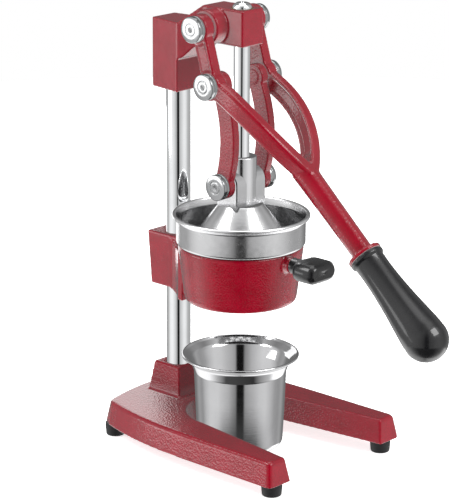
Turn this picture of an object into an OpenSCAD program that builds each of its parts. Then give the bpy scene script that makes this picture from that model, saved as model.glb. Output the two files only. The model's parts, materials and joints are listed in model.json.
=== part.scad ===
// Lever-operated citrus press: a cast stand, a sliding press cup driven by a forked
// lever and two links, a lift-out strainer bowl and a loose juice cup.
// Millimetres, +Z up, +Y to the rear, origin on the table under the middle of the press.
// Most places are given from the guide rod, whose axis is at x = 0, y = rod_y.

/* [Stand] */
// Height of the head's flat top above the table
head_top = 400; // [398:1:402]
// Radius of the rear column
column_r = 11; // [10.5:0.1:11.5]
// Distance from the guide rod back to the column
column_back = 77; // [76:0.5:78]
// Distance from the guide rod forward to the front ends of the legs
leg_reach = 111; // [108:1:114]
// Half width of the base across its legs, at the top
base_half = 83; // [81:0.5:85]
// Height of the rubber feet
foot_h = 11.7; // [10:0.1:13]
// Height of the base's flat top
base_top = 33.5; // [32:0.5:35]
// Outward slope of the base's sides, from top to bottom
draft = 4.2; // [3:0.1:5]

/* [Pivots] */
// Lever pivot in the head: distance behind the guide rod
pivot_a_y = 19.1; // [18:0.1:20]
// Lever pivot height
pivot_a_z = 384.1; // [383.5:0.1:384.5]
// Elbow pivot between lever and links: distance behind the guide rod
pivot_b_y = 4.5; // [3:0.1:6]
// Elbow pivot height
pivot_b_z = 335.8; // [335:0.1:337]
// Pivot height of the press hub, where its y is that of the guide rod
pivot_c_z = 245.7; // [245:0.1:247]
// Radius of the round chrome caps on the pivots
cap_r = 11.6; // [11:0.1:12]
// Thickness of the pivot caps
cap_t = 7; // [6:0.5:8]

/* [Lever] */
// Thickness of the lever's arms across the machine
arm_t = 10.6; // [10:0.1:11]
// Slope of the lever's stem and grip below the horizontal
stem_angle = 41.2; // [40:0.1:42]
// Largest radius of the grip
grip_r = 19.5; // [18:0.5:20.5]
// Length of the grip, from its collar to the end of its bulb
grip_length = 108; // [104:1:112]

/* [Bowl and cups] */
// Outer radius of the strainer bowl's rolled rim
bowl_rim_r = 61.3; // [60:0.1:62]
// Height of the strainer bowl's rim
bowl_rim_z = 217.3; // [216:0.1:219]
// Outer radius of the funnel ring at its top
ring_r = 55.8; // [55:0.1:56.5]
// Height of the funnel ring's top, where the bowl's shoulder rests
ring_top = 189; // [188:0.5:190]
// Height of the funnel ring's lower edge
ring_bottom = 138; // [136:0.5:139]
// Outer radius of the press cup
press_r = 47; // [45:0.5:48]
// Outer radius of the juice cup's rolled lip
cup_lip_r = 52.8; // [51:0.1:54]
// Height of the juice cup
cup_h = 87; // [85:0.5:89]

/* [Hidden] */
$fn = 64;

cast_red = [0.62, 0.08, 0.13];
chrome = [0.86, 0.87, 0.88];
steel = [0.72, 0.73, 0.75];
black = [0.10, 0.10, 0.11];

// The stem's centre line passes through this point, given from the guide rod
stem_y = -140;
stem_z = 209;
collar_at = 5;                       // the grip's collar, along the stem from that point
collar_t = 3.4;
collar_r = 15.7;
stem_r = 9.4;
stem_length = 92;                    // from the fork's crotch to the reference point
grip_bulb_at = grip_length - grip_r; // the bulb's centre, along the grip from the collar
front_reach = -stem_y + (collar_at + grip_bulb_at) * cos(stem_angle) + grip_r;
rear_reach = 111.5 + draft;
rod_y = (front_reach - rear_reach) / 2;

// Positions across the machine, as distances from its middle plane
ear_x = 18.7;                        // outer face of the hub's ears
link_in = 19.2;                      // inner face of a link
link_out = 27;                       // outer face of a link, and of the head's bosses
arm_in = 27.4;                       // inner face of a lever arm
arm_out = arm_in + arm_t;
arm_mid = (arm_in + arm_out) / 2;
cap_gap = 0.1;                       // between a cap and the face that it covers

rod_r = 7.1;
head_bottom = 368.3;
bush_r = 9.6;
fit = 0.05;                          // radial clearance of a running pin or rod
shaft_r = 5;
pin_r = 4.6;
cup_z = 0;

// Small helpers -----------------------------------------------------------------------

function arc(c, r, a0, a1, n) =
    [for (i = [0:n]) let (a = a0 + (a1 - a0) * i / n) [c[0] + r * cos(a), c[1] + r * sin(a)]];
function mirrored(points) = [for (i = [len(points) - 1:-1:0]) [-points[i][0], points[i][1]]];

// Children given in the guide rod's coordinates
module at_rod() { translate([0, rod_y, 0]) children(); }

// A cylinder along X between two distances from the middle plane, at side 1 or -1
module across(side, y, z, x0, x1, r) {
    translate([side * x0, y, z]) rotate([0, side * 90, 0]) cylinder(h = x1 - x0, r = r);
}

// A side profile of [y, z] points made solid between two x values
module slab(points, x0, x1) {
    translate([x0, 0, 0]) rotate([90, 0, 90]) linear_extrude(x1 - x0) polygon(points);
}

module both_sides() { for (side = [-1, 1]) scale_side(side) children(); }
module scale_side(side) { if (side > 0) children(); else mirror([1, 0, 0]) children(); }

// A solid through a stack of closed outlines, which have the same number of points and run
// anticlockwise seen from above
module loft(rings) {
    n = len(rings[0]);
    m = len(rings);
    faces = concat(
        [[for (i = [0:n - 1]) i]],
        [for (k = [0:m - 2], i = [0:n - 1])
            [k * n + i, (k + 1) * n + i, (k + 1) * n + (i + 1) % n, k * n + (i + 1) % n]],
        [[for (i = [n - 1:-1:0]) (m - 1) * n + i]]);
    polyhedron(points = [for (r = rings) each r], faces = faces, convexity = 8);
}

// Base --------------------------------------------------------------------------------

rear_mid_y = 111.5;
rear_corner = [65.5, 101.1];
side_bend_y = -20;                   // the sides run straight forward from here
arch_r = 50;                         // round end of the opening between the legs
arch_y = -2;
opening_half = 65.3;                 // half width of that opening, just in front of the legs
corner_r = 4;
base_z = foot_h;

// Half width of the base at a distance y behind the rod
function side_x(y) = y < side_bend_y ? base_half :
    base_half - (base_half - rear_corner[0]) *
    pow((y - side_bend_y) / (rear_corner[1] - side_bend_y), 2.5);

// Right half of the base's outline without its opening, grown outward by e, from the rear
// middle round to the front
function half_outline(e) = concat(
    [for (i = [0:8]) let (x = (rear_corner[0] - corner_r) * i / 8)
        [x * (1 + e / 70), rear_mid_y + e - (rear_mid_y - rear_corner[1]) * pow(x / rear_corner[0], 2)]],
    [for (i = [0:10]) let (y = rear_corner[1] - corner_r - i * (rear_corner[1] - corner_r - side_bend_y) / 10)
        [side_x(y) + e, y]],
    arc([base_half + e - corner_r, -leg_reach - e + corner_r], corner_r, 0, -90, 4));
function reversed(points) = [for (i = [len(points) - 1:-1:0]) points[i]];
function base_outline(e) = let (h = half_outline(e))
    reversed(concat(h, mirrored([for (i = [1:len(h) - 1]) h[i]])));
// The opening between the legs, narrower by e on all sides, in front of the arch's round end
function opening_outline(e) = let (y = -leg_reach - 10, x = opening_half - e)
    [[arch_r - e, arch_y], [-arch_r + e, arch_y], [-x, y], [x, y]];
function raised(points, z) = [for (p = points) [p[0], p[1], z]];

foot_front = [72.9, -104.6];
foot_rear = [61, 98.5];
foot_r = 9.2;
wall = 5;                            // thickness of the casting's walls
top_wall = 6;

module feet_places() {
    for (side = [-1, 1], p = [foot_front, foot_rear]) translate([side * p[0], p[1], 0]) children();
}

pedestal_bottom = [19, 20];          // half sizes of the pedestal, across and along
pedestal_top = [14.8, 15.6];
pedestal_h = 61;
column_foot = 30;                    // height of the column's lower end
column_top = 372;

function rectangle(half, z, cy) =
    [[half[0], cy + half[1], z], [-half[0], cy + half[1], z],
     [-half[0], cy - half[1], z], [half[0], cy - half[1], z]];

// The opening between the legs, cut with the same draft as the base's outer sides
module opening_cut() {
    bottom = base_z - draft / 4;
    top = base_top + draft / 4;
    grow = draft / 4 * draft / (base_top - base_z);
    loft([raised(opening_outline(draft + grow), bottom), raised(opening_outline(-grow), top)]);
    translate([0, arch_y, bottom])
        cylinder(h = top - bottom, r1 = arch_r - draft - grow, r2 = arch_r + grow);
}

module base_casting() color(cast_red) at_rod() difference() {
    union() {
        difference() {
            loft([raised(base_outline(draft), base_z), raised(base_outline(0.9), base_top - 2.2),
                  raised(base_outline(-0.9), base_top)]);
            opening_cut();
            difference() {
                translate([0, 0, base_z - 1]) linear_extrude(base_top - top_wall - base_z + 1)
                    polygon(base_outline(-wall));
                translate([0, arch_y, 0]) cylinder(h = 60, r = arch_r + wall);
                linear_extrude(60) polygon(opening_outline(-wall));
            }
        }
        feet_places() translate([0, 0, base_z]) cylinder(h = base_top - base_z - 2, r = 4.6);
        loft([rectangle(pedestal_bottom, base_top - 2, column_back + 1),
              rectangle(pedestal_top, pedestal_h, column_back + 1)]);
        translate([0, column_back, base_z + 8]) cylinder(h = base_top - base_z - 9, r = 19);
    }
    translate([0, column_back, column_foot]) cylinder(h = 60, r = column_r);
    translate([0, column_back, base_z]) cylinder(h = 40, r = 4.2);
    feet_places() translate([0, 0, base_z - 1]) cylinder(h = 14, r = 2);
}

module rubber_feet() color(black) at_rod() feet_places() difference() {
    union() {
        cylinder(h = 2, r1 = foot_r - 1, r2 = foot_r);
        translate([0, 0, 2]) cylinder(h = foot_h - 2, r = foot_r);
    }
    translate([0, 0, -1]) cylinder(h = foot_h + 2, r = 2);
    translate([0, 0, -1]) cylinder(h = 5, r = 4.6);
}

module foot_screws() color(steel) at_rod() feet_places() {
    translate([0, 0, 3.5]) cylinder(h = 18.5, r = 2);
    translate([0, 0, 2]) difference() {
        cylinder(h = 2, r = 4);
        translate([0, 0, -1]) cylinder(h = 2, r = 1.5, $fn = 6);
    }
}

module column() color(chrome) at_rod() translate([0, column_back, 0]) difference() {
    translate([0, 0, column_foot]) cylinder(h = column_top - column_foot, r = column_r);
    translate([0, 0, column_foot - 1]) cylinder(h = 31, r = 4);
}

module column_bolt() color(steel) at_rod() translate([0, column_back, 0]) {
    translate([0, 0, base_z + 6.5]) cylinder(h = 1.5, r = 9);
    translate([0, 0, base_z + 1.5]) cylinder(h = 5, r = 7.5, $fn = 6);
    translate([0, 0, base_z + 7]) cylinder(h = column_foot + 28 - base_z - 7, r = 4);
}

// Head --------------------------------------------------------------------------------

head_front = -12.9;
head_half = 13.5;                    // half width of the beam
head_flare_y = 34;                   // behind this the beam widens to the column block
head_valley_y = 60.1;                // where the beam's slope meets the column block
block_half = 19.4;                   // half width of the column block at its front
block_rear_half = 14.1;
block_top = 381.6;
block_bottom = 319.2;
block_rear = 95.5;
boss_r = 15.5;

module head_casting() color(cast_red) at_rod() difference() {
    union() {
        intersection() {
            slab([[head_front, head_bottom], [30, head_bottom], [44, 361], [55, 351],
                  [head_valley_y, 348.7], [head_valley_y, block_bottom], [block_rear, block_bottom],
                  [block_rear, block_top], [head_valley_y, block_top], [33.9, head_top],
                  [head_front, head_top]], -30, 30);
            translate([0, 0, 300]) linear_extrude(120)
                polygon([[head_half, head_front - 5], [head_half, head_flare_y], [block_half,
                    head_valley_y],
                         [block_rear_half, block_rear + 0.1], [-block_rear_half, block_rear + 0.1],
                         [-block_half, head_valley_y], [-head_half, head_flare_y],
                         [-head_half, head_front - 5]]);
        }
        for (side = [-1, 1]) across(side, pivot_a_y, pivot_a_z, 0, link_out, boss_r);
    }
    translate([0, 0, head_bottom - 1]) cylinder(h = 40, r = bush_r);
    translate([0, column_back, block_bottom - 1]) cylinder(h = column_top - block_bottom + 1, r = column_r);
    across(1, pivot_a_y, pivot_a_z, -40, 40, shaft_r);
    set_screw_places() rotate([-90, 0, 0]) cylinder(h = 12, r = 3);
}

module set_screw_places() {
    for (z = [block_bottom + 14, block_top - 14]) translate([0, column_back + column_r, z]) children();
}

// A headless socket screw along +Y, its hexagon at the far end
module socket_screw(length, r) {
    rotate([-90, 0, 0]) difference() {
        cylinder(h = length, r = r);
        translate([0, 0, length - 2]) cylinder(h = 3, r = r * 0.55, $fn = 6);
    }
}

module head_set_screws() color(steel) at_rod()
    set_screw_places() socket_screw(block_rear - column_back - column_r - 0.4, 3);

module guide_bush() color([0.72, 0.55, 0.25]) at_rod() translate([0, 0, head_bottom]) difference() {
    cylinder(h = head_top - head_bottom - 0.2, r = bush_r);
    translate([0, 0, -1]) cylinder(h = 40, r = rod_r + fit);
}

module head_pivot_shaft() color(steel) at_rod()
    across(1, pivot_a_y, pivot_a_z, -arm_out - cap_gap, arm_out + cap_gap, shaft_r);

// A chrome pivot cap facing outward: dished face ring, centre socket, groove round its side
module cap(side, y, z, x0) {
    translate([side * x0, y, z]) rotate([0, side * 90, 0]) difference() {
        union() {
            cylinder(h = cap_t - 1, r = cap_r);
            translate([0, 0, cap_t - 1]) cylinder(h = 1, r1 = cap_r, r2 = cap_r - 1);
        }
        translate([0, 0, cap_t - 0.6]) difference() {
            cylinder(h = 1, r = 6);
            translate([0, 0, -1]) cylinder(h = 3, r = 5);
        }
        translate([0, 0, cap_t - 3]) cylinder(h = 4, r = 1.5, $fn = 6);
        translate([0, 0, 1.6]) rotate_extrude() translate([cap_r - 0.5, 0]) square([2, 0.8]);
    }
}

module head_pivot_caps() color(chrome) at_rod()
    for (side = [-1, 1]) cap(side, pivot_a_y, pivot_a_z, arm_out + cap_gap);

// Funnel ring and its bracket ----------------------------------------------------------

ring_low_r = 50.2;                   // outer radius of the ring at its lower edge
ring_wall = 4.4;
outlet_r = 7;
clamp_half = 17.6;                   // half width of the block that clamps the column
clamp_rear = 99;
clamp_bottom = 136.3;
clamp_top = 185.5;
handle_z = 181;

module bowl_bracket() color(cast_red) at_rod() difference() {
    union() {
        rotate_extrude($fn = 96) polygon([[0, ring_bottom + 1.5], [ring_low_r - 8, ring_bottom + 1],
            [ring_low_r - 4, ring_bottom], [ring_low_r - 1, ring_bottom + 1], [ring_low_r, ring_bottom + 4],
            [ring_r, ring_top - 2], [ring_r - 0.8, ring_top], [0, ring_top]]);
        slab([[60, clamp_bottom], [clamp_rear - 4.3, clamp_bottom], [clamp_rear, clamp_top], [60,
            clamp_top]],
             -clamp_half, clamp_half);
        intersection() {
            slab([[30, 134], [60, 134], [72, clamp_bottom], [column_back + 6, clamp_bottom],
                  [column_back + 6, clamp_top - 0.4], [74, clamp_top - 0.4], [64, clamp_top - 5],
                  [58, clamp_top - 8], [30, clamp_top - 8]], -34, 34);
            translate([0, 0, 100]) linear_extrude(120) polygon([[-clamp_half + 0.4, column_back + 6],
                [-clamp_half + 0.4, 74], [-18.5, 67], [-21.5, 60], [-26, 53.5], [-33, 46], [-34, 40],
                [34, 40], [33, 46], [26, 53.5], [21.5, 60], [18.5, 67],
                [clamp_half - 0.4, 74], [clamp_half - 0.4, column_back + 6]]);
        }
        translate([0, -48, handle_z]) rotate([90, 0, 0]) cylinder(h = 14, r = 7.5);
    }
    rotate_extrude($fn = 96) polygon([[0, ring_bottom - 2], [outlet_r, ring_bottom - 2],
        [outlet_r, ring_bottom + 8], [ring_low_r - ring_wall - 3, ring_bottom + 16],
        [ring_low_r - ring_wall + 1, ring_bottom + 22], [ring_r - ring_wall, ring_top + 1], [0,
            ring_top + 1]]);
    translate([0, column_back, 100]) cylinder(h = 120, r = column_r);
    bracket_screw_places() rotate([-90, 0, 0]) cylinder(h = 12, r = 3);
    translate([0, -40, handle_z]) rotate([90, 0, 0]) cylinder(h = 40, r = 2.5);
}

module bracket_screw_places() {
    for (z = [clamp_bottom + 12, clamp_top - 12]) translate([0, column_back + column_r, z]) children();
}

module bracket_set_screws() color(steel) at_rod()
    bracket_screw_places() socket_screw(6, 3);

handle_in = -62;                     // where the front handle's grip meets its red boss
handle_out = -98;
handle_half_x = 17.5;
handle_half_z = 9;

module front_handle_grip() color(black) at_rod() difference() {
    union() {
        translate([0, handle_in, handle_z]) rotate([90, 0, 0]) cylinder(h = 14, r = 7);
        hull() for (side = [-1, 1]) {
            translate([side * (handle_half_x - handle_half_z), handle_in - 10, handle_z])
                rotate([90, 0, 0]) cylinder(h = 1, r = handle_half_z - 4, $fn = 32);
            translate([side * (handle_half_x - handle_half_z), handle_in - 16, handle_z])
                rotate([90, 0, 0]) cylinder(h = 17, r = handle_half_z, $fn = 32);
            translate([side * (handle_half_x - handle_half_z), handle_out + 3, handle_z])
                rotate([90, 0, 0]) cylinder(h = 3, r = handle_half_z - 2, $fn = 32);
        }
    }
    translate([0, handle_in + 1, handle_z]) rotate([90, 0, 0]) cylinder(h = 60, r = 2.5);
    translate([0, handle_out + 6, handle_z]) rotate([90, 0, 0]) cylinder(h = 10, r = 3.6);
}

module front_handle_screw() color(steel) at_rod() translate([0, 0, handle_z]) rotate([90, 0, 0]) {
    translate([0, 0, 50]) cylinder(h = -handle_out - 5.5 - 50, r = 2.5);
    translate([0, 0, -handle_out - 6]) difference() {
        cylinder(h = 3, r = 3.5);
        translate([0, 0, 1.4]) cylinder(h = 3, r = 2, $fn = 6);
    }
}

// Press -------------------------------------------------------------------------------

rod_bottom = 228;
stop_gap = 0.2;                      // left under the rod's stop cap when the press is down
hub_r = 13.4;
hub_top = 269;
hub_bottom = 226;
ear_r = 12;
cone_apex = 250.5;                   // height at which the press cup's cone would close
cone_slope = 1.29;                   // its drop for each millimetre of radius
press_wall = 3;
press_skirt = 9;
press_edge = cone_apex - cone_slope * press_r;

module guide_rod() color(chrome) at_rod() translate([0, 0, rod_bottom]) difference() {
    cylinder(h = head_top - rod_bottom + stop_gap, r = rod_r);
    translate([0, 0, -1]) cylinder(h = 16, r = 3);
}

module rod_stop_cap() color(chrome) at_rod() translate([0, 0, head_top + stop_gap]) {
    cylinder(h = 2.6, r = 8.4);
    translate([0, 0, 2.6]) cylinder(h = 1.4, r1 = 8.4, r2 = 6.6);
    translate([0, 0, 4]) cylinder(h = 0.7, r1 = 6.6, r2 = 3);
}

module press_hub() color(steel) at_rod() difference() {
    union() {
        translate([0, 0, hub_bottom]) cylinder(h = hub_top - hub_bottom, r = hub_r);
        intersection() {
            union() {
                for (side = [-1, 1]) across(side, 0, pivot_c_z, 0, ear_x, ear_r);
                translate([-ear_x, -ear_r, hub_bottom - 2]) cube([2 * ear_x, 2 * ear_r,
                    pivot_c_z - hub_bottom + 2]);
            }
            translate([0, 0, hub_bottom - 2]) cylinder(h = 60, r = 40);
        }
    }
    translate([0, 0, rod_bottom]) cylinder(h = 60, r = rod_r);
    translate([0, 0, hub_bottom - 6]) cylinder(h = 20, r = 3.2);
    for (side = [-1, 1]) across(side, 0, pivot_c_z, 10, ear_x + 1, pin_r);
    translate([0, rod_r, hub_top - 9]) rotate([-90, 0, 0]) cylinder(h = 12, r = 2.5);
    // the ears are cut off along the press cup's cone, on which they sit
    rotate_extrude() polygon([[3.3, hub_bottom - 8], [3.3, hub_bottom],
        [(cone_apex - hub_bottom) / cone_slope, hub_bottom], [40, cone_apex - 40 * cone_slope],
            [40, hub_bottom - 60], [3.3, hub_bottom - 60]]);
}

module hub_set_screw() color(steel) at_rod()
    translate([0, rod_r, hub_top - 9]) socket_screw(hub_r - rod_r - 0.8, 2.5);

// The press cup's shell: a steep cone with a flat top under the hub and a short skirt
module press_cup() color(chrome) at_rod() difference() {
    rotate_extrude($fn = 96) polygon([
        [3.2, hub_bottom - press_wall], [3.2, hub_bottom],
        [(cone_apex - hub_bottom) / cone_slope, hub_bottom], [press_r - 1, press_edge + 2],
        [press_r, press_edge - 1], [press_r, press_edge - press_skirt],
        [press_r - press_wall, press_edge - press_skirt], [press_r - press_wall, press_edge - 1.5],
        [(cone_apex - hub_bottom) / cone_slope - 2, hub_bottom - press_wall]]);
}

module press_cup_bolt() color(steel) at_rod() translate([0, 0, hub_bottom - press_wall]) {
    translate([0, 0, -1.2]) cylinder(h = 1.2, r = 7);
    translate([0, 0, -4.6]) cylinder(h = 3.4, r = 5, $fn = 6);
    translate([0, 0, -2]) cylinder(h = 16, r = 3);
}

// Lever -------------------------------------------------------------------------------

// The fork's arms follow an arch in side view and close in on the middle plane in plan
arch_radius = 164;
arch_start = 21;                     // slope below the horizontal at the elbow
arm_depth = 17.5;
plan_radius = 131;
plan_start = 25;                     // length along the arm before it turns inward
function arch_centre() = [pivot_b_y + arch_radius * sin(arch_start),
    pivot_b_z - arch_radius * cos(arch_start)];
function arm_slope(s) = arch_start + s / arch_radius * 180 / PI;
function arm_x(s) = s < plan_start ? arm_mid :
    max(0, arm_mid - plan_radius + sqrt(plan_radius * plan_radius - pow(s - plan_start, 2)));
function arm_yz(s) = [arch_centre()[0] - arch_radius * sin(arm_slope(s)),
                      arch_centre()[1] + arch_radius * cos(arm_slope(s))];
function arm_turn(s) = s < plan_start ? 0 : asin(min(1, (s - plan_start) / plan_radius));

fork_length = 108;
fork_steps = 12;
function arm_s(i) = 5 + (fork_length - 5) * i / fork_steps;

// One arm of the fork: its arched side profile cut to its plan outline
module lever_arm_fork() {
    side_view = concat(
        [for (i = [0:fork_steps]) let (a = arm_slope(arm_s(i)), c = arm_yz(arm_s(i)))
            [c[0] - arm_depth / 2 * sin(a), c[1] + arm_depth / 2 * cos(a)]],
        [for (i = [fork_steps:-1:0]) let (a = arm_slope(arm_s(i)), c = arm_yz(arm_s(i)))
            [c[0] + arm_depth / 2 * sin(a), c[1] - arm_depth / 2 * cos(a)]]);
    plan_view = concat(
        [[arm_in + 0.2, 20]],
        [for (i = [0:fork_steps]) let (s = arm_s(i)) arm_edge(s, -1)],
        [for (i = [fork_steps:-1:0]) let (s = arm_s(i)) arm_edge(s, 1)],
        [[arm_out - 0.2, 20]]);
    intersection() {
        slab(side_view, -50, 50);
        translate([0, 0, 200]) linear_extrude(200) polygon(plan_view);
    }
}
// A point of the arm's plan outline, at length s along it, on its inner or outer side
function arm_edge(s, side) = let (half = arm_t / 2 - 0.2)
    [arm_x(s) + side * half * cos(arm_turn(s)),
     arm_yz(s)[0] - side * half * sin(arm_turn(s)) * cos(arm_slope(s))];

// Children placed along the stem: their z runs down the stem from its reference point
module on_stem() {
    translate([0, stem_y, stem_z]) rotate([90 + stem_angle, 0, 0]) children();
}

// The arm between the pivots: a flat bar with a rib down its middle and a raised front edge
module upper_arm() {
    dy = pivot_b_y - pivot_a_y;
    dz = pivot_b_z - pivot_a_z;
    x0 = arm_in + 0.2;
    x1 = arm_out - 2;
    x2 = arm_out - 0.2;
    translate([0, pivot_a_y, pivot_a_z]) rotate([atan2(dz, dy) - 90, 0, 0])
        linear_extrude(sqrt(dy * dy + dz * dz))
            polygon([[x0, -9.2], [x2, -9.2], [x2, -6.2], [x1, -6.2], [x1, -2.5], [x2, -2.5],
                     [x2, 2.5], [x1, 2.5], [x1, 9.2], [x0, 9.2]]);
}

module lever_casting() color(cast_red) at_rod() difference() {
    union() {
        both_sides() {
            across(1, pivot_a_y, pivot_a_z, arm_in, arm_out, 12.7);
            across(1, pivot_b_y, pivot_b_z, arm_in, arm_out, 12.7);
            upper_arm();
            lever_arm_fork();
        }
        on_stem() translate([0, 0, -stem_length]) cylinder(h = stem_length + collar_at, r1 = 10.5,
            r2 = stem_r);
        on_stem() translate([0, 0, collar_at - collar_t]) cylinder(h = collar_t, r = collar_r);
    }
    both_sides() {
        across(1, pivot_a_y, pivot_a_z, 20, 50, shaft_r + fit);
        across(1, pivot_b_y, pivot_b_z, 20, 50, pin_r);
    }
    on_stem() translate([0, 0, -20]) cylinder(h = 40, r = 4);
}

module grip_stud() color(steel) at_rod() on_stem() translate([0, 0, -20]) cylinder(h = 62, r = 4);

module lever_grip() color(black) at_rod() on_stem() translate([0, 0, collar_at]) difference() {
    rotate_extrude() polygon(concat(
        [[0, 0], [14.2, 0], [15.2, 1.2], [15.2, 3.6], [14, 5], [13.6, 8], [13.6, 18], [14.2, 34],
         [15.6, 52], [17.8, 70]],
        arc([0, grip_bulb_at], grip_r, -15, 90, 14)));
    translate([0, 0, -1]) cylinder(h = 38, r = 4);
}

module elbow_pins() color(steel) at_rod()
    for (side = [-1, 1]) across(side, pivot_b_y, pivot_b_z, link_in + 0.2, arm_out + cap_gap, pin_r);

module elbow_caps() color(chrome) at_rod()
    for (side = [-1, 1]) cap(side, pivot_b_y, pivot_b_z, arm_out + cap_gap);

// Links -------------------------------------------------------------------------------

link_bow = 9.5;                      // how far the link's middle stands forward
link_half = 8.3;
link_eye_r = 11.4;

// The link's bowed bar as a crescent between two arcs through its eyes, in [y, z]
function link_point(t, offset) =
    let (y = pivot_b_y * (1 - t), z = pivot_b_z + (pivot_c_z - pivot_b_z) * t)
    [y - link_bow * 4 * t * (1 - t) + offset, z];

module link(side) at_rod() difference() {
    union() {
        across(side, pivot_b_y, pivot_b_z, link_in, link_out, link_eye_r);
        across(side, 0, pivot_c_z, link_in, link_out, link_eye_r);
        slab(concat([for (i = [0:16]) link_point(i / 16, -link_half)],
                    [for (i = [16:-1:0]) link_point(i / 16, link_half)]),
             side > 0 ? link_in : -link_out, side > 0 ? link_out : -link_in);
    }
    across(side, pivot_b_y, pivot_b_z, 10, 40, pin_r + fit);
    across(side, 0, pivot_c_z, 10, 40, pin_r);
}

module lower_pin(side) color(steel) at_rod() across(side, 0, pivot_c_z, link_in, link_out + cap_gap, pin_r);
module lower_cap(side) color(chrome) at_rod() cap(side, 0, pivot_c_z, link_out + cap_gap);

module link_left() color(cast_red) link(-1);
module link_right() color(cast_red) link(1);
module lower_pin_left() lower_pin(-1);
module lower_pin_right() lower_pin(1);
module lower_cap_left() lower_cap(-1);
module lower_cap_right() lower_cap(1);

// Strainer and juice cup ----------------------------------------------------------------

bowl_r = 57.4;
bowl_low_r = ring_r - ring_wall - 1;
bowl_bottom_r = bowl_low_r - 3;
bowl_floor = 168;
sheet = 1.2;                         // thickness of the stainless sheet
seat_gap = 0.3;                      // between the bowl's shoulder and the ring

module strainer_bowl() color(steel) at_rod() difference() {
    rotate_extrude($fn = 96) polygon([[0, bowl_floor], [bowl_bottom_r - 4, bowl_floor],
        [bowl_bottom_r, bowl_floor + 4], [bowl_low_r, ring_top - 2], [bowl_low_r + 0.4,
            ring_top + seat_gap],
        [bowl_r - 2, ring_top + seat_gap], [bowl_r, ring_top + 3], [bowl_r, bowl_rim_z - 4],
        [bowl_rim_r - 0.8, bowl_rim_z - 3], [bowl_rim_r, bowl_rim_z - 1.6], [bowl_rim_r - 0.8,
            bowl_rim_z - 0.3],
        [bowl_rim_r - 1.6, bowl_rim_z], [bowl_rim_r - 3.4, bowl_rim_z - 0.5],
        [bowl_r - sheet, bowl_rim_z - 4], [bowl_r - sheet, ring_top + 4], [bowl_r - 3,
            ring_top + sheet + seat_gap],
        [bowl_low_r, ring_top + sheet + seat_gap], [bowl_low_r - sheet, ring_top - 1],
        [bowl_bottom_r - sheet, bowl_floor + 4.6], [bowl_bottom_r - 4.6, bowl_floor + sheet],
        [0, bowl_floor + sheet]]);
    for (i = [0:23]) rotate([0, 0, i * 15]) for (r = [38, 42.5])
        rotate([0, 0, r > 40 ? 7.5 : 0]) translate([r, 0, bowl_floor - 1]) cylinder(h = 4, r = 1.3);
}

cone_base_r = 34;
cone_top_z = 218;

// The fluted cone that the fruit is pressed on, standing on the strainer's floor
module strainer_cone() color(steel) at_rod() translate([0, 0, bowl_floor + sheet]) difference() {
    rotate_extrude() polygon([[0, 0], [cone_base_r, 0], [cone_base_r, 4], [cone_base_r - 4, 12],
        [12, 40], [7, 45.5], [3, cone_top_z - bowl_floor - sheet], [0, cone_top_z - bowl_floor - sheet]]);
    for (i = [0:11]) rotate([0, 0, i * 30]) translate([cone_base_r + 5.5, 0, 4])
        rotate([0, -32, 0]) cylinder(h = 60, r = 4.5);
    translate([0, 0, -1]) cylinder(h = 30, r1 = cone_base_r - 6, r2 = 8);
}

module juice_cup() color(steel) at_rod() translate([0, 0, cup_z]) rotate_extrude($fn = 96) polygon(concat(
    [[0, 0]], arc([28.5, 10], 10, -90, 0, 6), [[41.6, 72], [42.5, 77], [45.5, 82], [50, cup_h - 2.4],
     [cup_lip_r - 0.7, cup_h - 2.2], [cup_lip_r, cup_h - 1.1], [cup_lip_r - 0.7, cup_h - 0.1],
     [cup_lip_r - 2, cup_h], [49.6, cup_h - 0.8], [44.8, 83.2], [41.5, 77.6], [40.4, 72.2]],
    arc([28.5, 10], 8.8, 0, -90, 6), [[0, 1.2]]));

base_casting();
rubber_feet();
foot_screws();
column();
column_bolt();
head_casting();
head_set_screws();
guide_bush();
head_pivot_shaft();
head_pivot_caps();
bowl_bracket();
bracket_set_screws();
front_handle_grip();
front_handle_screw();
guide_rod();
rod_stop_cap();
press_hub();
hub_set_screw();
press_cup();
press_cup_bolt();
lever_casting();
lever_grip();
grip_stud();
elbow_pins();
elbow_caps();
link_left();
link_right();
lower_pin_left();
lower_pin_right();
lower_cap_left();
lower_cap_right();
strainer_bowl();
strainer_cone();
juice_cup();
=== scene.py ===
"""Looks of the citrus press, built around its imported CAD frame.

Lengths in the builders are millimetres from the guide rod's axis at table height (+X to the
machine's right, -Y to the front); place() turns them into the frame's metres.
"""

import json
import math

import bmesh
import bpy
from mathutils import Matrix, Vector

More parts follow.
